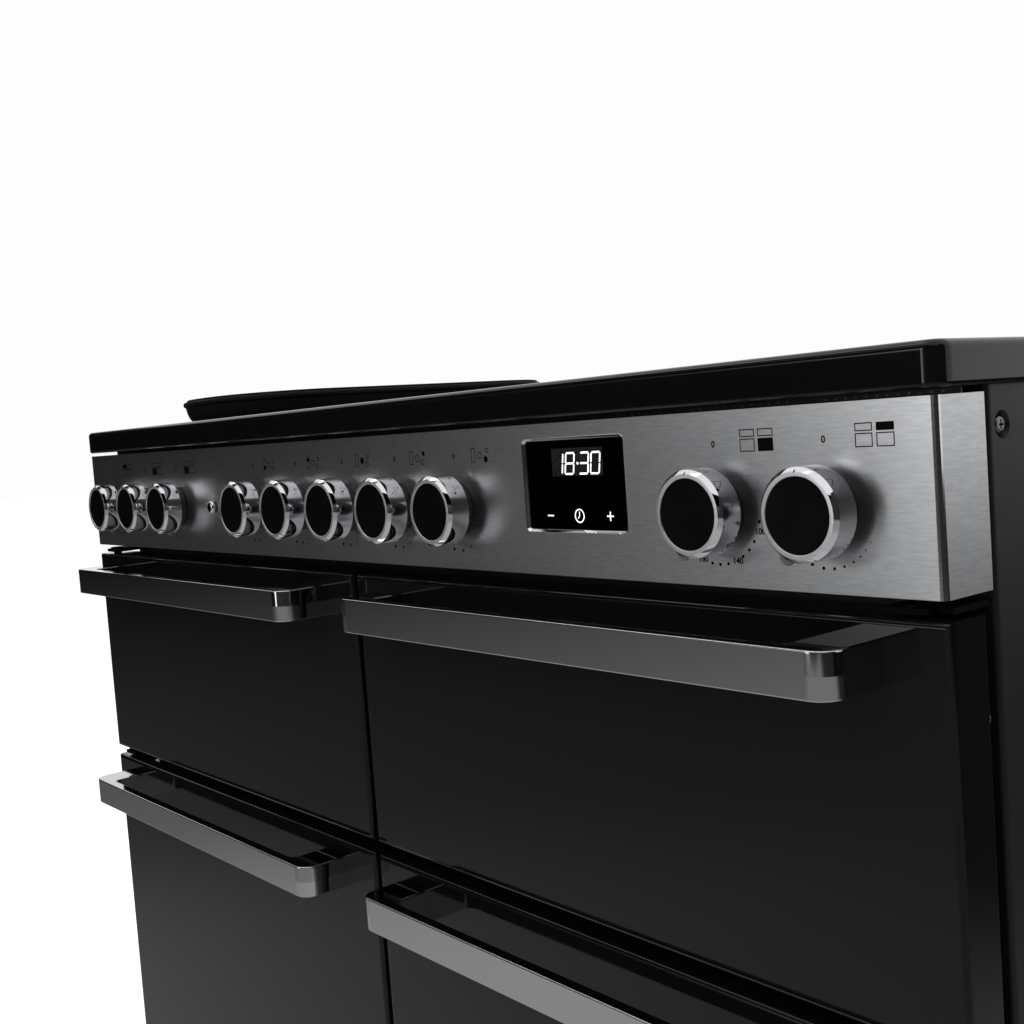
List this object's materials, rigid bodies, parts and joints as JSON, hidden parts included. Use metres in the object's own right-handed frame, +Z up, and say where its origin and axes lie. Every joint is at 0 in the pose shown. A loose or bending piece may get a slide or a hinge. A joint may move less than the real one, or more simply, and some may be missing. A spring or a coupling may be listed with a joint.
{
  "type": "induction range cooker",
  "caption": "Freestanding induction range cooker with hinged oven doors, bar handles, rotary knobs, a timer display and a lift-off griddle on a glass hob.",
  "frame": {"origin": "on the floor, under the middle of the overall box", "axes": "+X to the right seen from the front, +Y from the front to the back, +Z up"},
  "size_m": [1, 0.6496, 0.9297],
  "materials": {
    "brushed_fascia": "horizontal brush",
    "gloss_black": "gloss",
    "hob_glass": "gloss",
    "dark_chrome": "polished",
    "chrome": "polished",
    "satin_black": "satin",
    "galvanised": "galvanised",
    "enamel": "vitreous gloss",
    "wire": "bright wire",
    "element": "oxidised",
    "seal": "matt",
    "insulation": "mineral fibre",
    "fan": "satin",
    "griddle": "black non-stick",
    "coil": "matt",
    "black_plastic": "matt",
    "display": "gloss",
    "lens": "translucent",
    "screw": "plated",
    "foot": "plated"
  },
  "bodies": {
    "cabinet": {"base_pan": "galvanised", "control_panel": "brushed_fascia", "control_switches": "black_plastic", "display_unit": "display", "door_seals": "seal", "fan_baffles": "enamel", "fan_motors": "fan", "front_frame": "satin_black", "heating_elements": "element", "hinge_brackets": "satin_black", "hob_glass": "hob_glass", "hob_surround": "gloss_black", "hob_tray": "galvanised", "indicator_lenses": "lens", "induction_modules": "coil", "oven_insulation": "insulation", "oven_liner_lower_left": "enamel", "oven_liner_lower_right": "enamel", "oven_liner_upper_left": "enamel", "oven_liner_upper_right": "enamel", "panel_screws": "screw", "plinth_panel": "satin_black", "rear_panel": "galvanised", "shelf_racks": "wire", "side_panels": "satin_black", "terminal_box": "black_plastic"},
    "door_upper_left": {"door_panel_upper_left": "gloss_black", "door_liner_upper_left": "enamel", "door_handle_upper_left": "dark_chrome"},
    "door_upper_right": {"door_panel_upper_right": "gloss_black", "door_liner_upper_right": "enamel", "door_handle_upper_right": "dark_chrome"},
    "door_lower_left": {"door_panel_lower_left": "gloss_black", "door_liner_lower_left": "enamel", "door_handle_lower_left": "dark_chrome"},
    "door_lower_right": {"door_panel_lower_right": "gloss_black", "door_liner_lower_right": "enamel", "door_handle_lower_right": "dark_chrome"},
    "knob_top_left_oven": {"knob_top_left_oven": "chrome"},
    "knob_bottom_left_function": {"knob_bottom_left_function": "chrome"},
    "knob_bottom_left_oven": {"knob_bottom_left_oven": "chrome"},
    "knob_zone_1": {"knob_zone_1": "chrome"},
    "knob_zone_2": {"knob_zone_2": "chrome"},
    "knob_zone_3": {"knob_zone_3": "chrome"},
    "knob_zone_4": {"knob_zone_4": "chrome"},
    "knob_zone_5": {"knob_zone_5": "chrome"},
    "knob_bottom_right_oven": {"knob_bottom_right_oven": "chrome"},
    "knob_top_right_oven": {"knob_top_right_oven": "chrome"},
    "foot_front_left": {"foot_front_left": "foot"},
    "foot_front_right": {"foot_front_right": "foot"},
    "foot_rear_left": {"foot_rear_left": "foot"},
    "foot_rear_right": {"foot_rear_right": "foot"},
    "oven_fan_left": {"oven_fan_left": "fan"},
    "oven_fan_right": {"oven_fan_right": "fan"},
    "oven_shelf_left": {"oven_shelf_left": "wire"},
    "oven_shelf_right": {"oven_shelf_right": "wire"},
    "warming_shelf": {"warming_shelf": "wire"},
    "grill_pan": {"grill_pan": "enamel"},
    "light_button": {"light_button": "chrome"},
    "griddle_plate": {"griddle_plate": "griddle"}
  },
  "joints": [
    {"name": "door_upper_left_hinge", "type": "hinge", "parent": "cabinet", "child": "door_upper_left", "pos_m": [-0.4744, -0.27285, 0.675], "axis": [0, 0, -1], "range_deg": [0, 110]},
    {"name": "door_upper_right_hinge", "type": "hinge", "parent": "cabinet", "child": "door_upper_right", "pos_m": [0.4744, -0.27285, 0.675], "axis": [0, 0, 1], "range_deg": [0, 110]},
    {"name": "door_lower_left_hinge", "type": "hinge", "parent": "cabinet", "child": "door_lower_left", "pos_m": [-0.4744, -0.27285, 0.3478], "axis": [0, 0, -1], "range_deg": [0, 110]},
    {"name": "door_lower_right_hinge", "type": "hinge", "parent": "cabinet", "child": "door_lower_right", "pos_m": [0.4744, -0.27285, 0.3478], "axis": [0, 0, 1], "range_deg": [0, 110]},
    {"name": "knob_top_left_oven_turn", "type": "hinge", "parent": "cabinet", "child": "knob_top_left_oven", "pos_m": [-0.4337, -0.28325, 0.828], "axis": [0, 1, 0], "range_deg": [0, 290]},
    {"name": "knob_bottom_left_function_turn", "type": "hinge", "parent": "cabinet", "child": "knob_bottom_left_function", "pos_m": [-0.3637, -0.28325, 0.828], "axis": [0, 1, 0], "range_deg": [0, 300]},
    {"name": "knob_bottom_left_oven_turn", "type": "hinge", "parent": "cabinet", "child": "knob_bottom_left_oven", "pos_m": [-0.2937, -0.28325, 0.828], "axis": [0, 1, 0], "range_deg": [0, 290]},
    {"name": "knob_zone_1_turn", "type": "hinge", "parent": "cabinet", "child": "knob_zone_1", "pos_m": [-0.1435, -0.28325, 0.828], "axis": [0, 1, 0], "range_deg": [0, 270]},
    {"name": "knob_zone_2_turn", "type": "hinge", "parent": "cabinet", "child": "knob_zone_2", "pos_m": [-0.0735, -0.28325, 0.828], "axis": [0, 1, 0], "range_deg": [0, 270]},
    {"name": "knob_zone_3_turn", "type": "hinge", "parent": "cabinet", "child": "knob_zone_3", "pos_m": [-0.0035, -0.28325, 0.828], "axis": [0, 1, 0], "range_deg": [0, 270]},
    {"name": "knob_zone_4_turn", "type": "hinge", "parent": "cabinet", "child": "knob_zone_4", "pos_m": [0.0665, -0.28325, 0.828], "axis": [0, 1, 0], "range_deg": [0, 270]},
    {"name": "knob_zone_5_turn", "type": "hinge", "parent": "cabinet", "child": "knob_zone_5", "pos_m": [0.1365, -0.28325, 0.828], "axis": [0, 1, 0], "range_deg": [0, 270]},
    {"name": "knob_bottom_right_oven_turn", "type": "hinge", "parent": "cabinet", "child": "knob_bottom_right_oven", "pos_m": [0.3637, -0.28325, 0.828], "axis": [0, 1, 0], "range_deg": [0, 290]},
    {"name": "knob_top_right_oven_turn", "type": "hinge", "parent": "cabinet", "child": "knob_top_right_oven", "pos_m": [0.4337, -0.28325, 0.828], "axis": [0, 1, 0], "range_deg": [0, 270]},
    {"name": "foot_front_left_screw", "type": "slide", "parent": "cabinet", "child": "foot_front_left", "axis": [0, 0, -1], "range_m": [0, 0.025]},
    {"name": "foot_front_right_screw", "type": "slide", "parent": "cabinet", "child": "foot_front_right", "axis": [0, 0, -1], "range_m": [0, 0.025]},
    {"name": "foot_rear_left_screw", "type": "slide", "parent": "cabinet", "child": "foot_rear_left", "axis": [0, 0, -1], "range_m": [0, 0.025]},
    {"name": "foot_rear_right_screw", "type": "slide", "parent": "cabinet", "child": "foot_rear_right", "axis": [0, 0, -1], "range_m": [0, 0.025]},
    {"name": "oven_fan_left_spin", "type": "hinge", "parent": "cabinet", "child": "oven_fan_left", "pos_m": [-0.2502, 0.15325, 0.3478], "axis": [0, 1, 0], "continuous": true},
    {"name": "oven_fan_right_spin", "type": "hinge", "parent": "cabinet", "child": "oven_fan_right", "pos_m": [0.2502, 0.15325, 0.3478], "axis": [0, 1, 0], "continuous": true},
    {"name": "oven_shelf_left_slide", "type": "slide", "parent": "cabinet", "child": "oven_shelf_left", "axis": [0, -1, 0], "range_m": [0, 0.024]},
    {"name": "oven_shelf_right_slide", "type": "slide", "parent": "cabinet", "child": "oven_shelf_right", "axis": [0, -1, 0], "range_m": [0, 0.024]},
    {"name": "warming_shelf_slide", "type": "slide", "parent": "cabinet", "child": "warming_shelf", "axis": [0, -1, 0], "range_m": [0, 0.024]},
    {"name": "grill_pan_slide", "type": "slide", "parent": "cabinet", "child": "grill_pan", "axis": [0, -1, 0], "range_m": [0, 0.024]},
    {"name": "light_button_press", "type": "slide", "parent": "cabinet", "child": "light_button", "axis": [0, 1, 0], "range_m": [0, 0.0025], "stiffness_N_per_m": 600},
    {"name": "griddle_lift", "type": "slide", "parent": "cabinet", "child": "griddle_plate", "axis": [0, 0, 1], "range_m": [0, 0.15]}
  ]
}
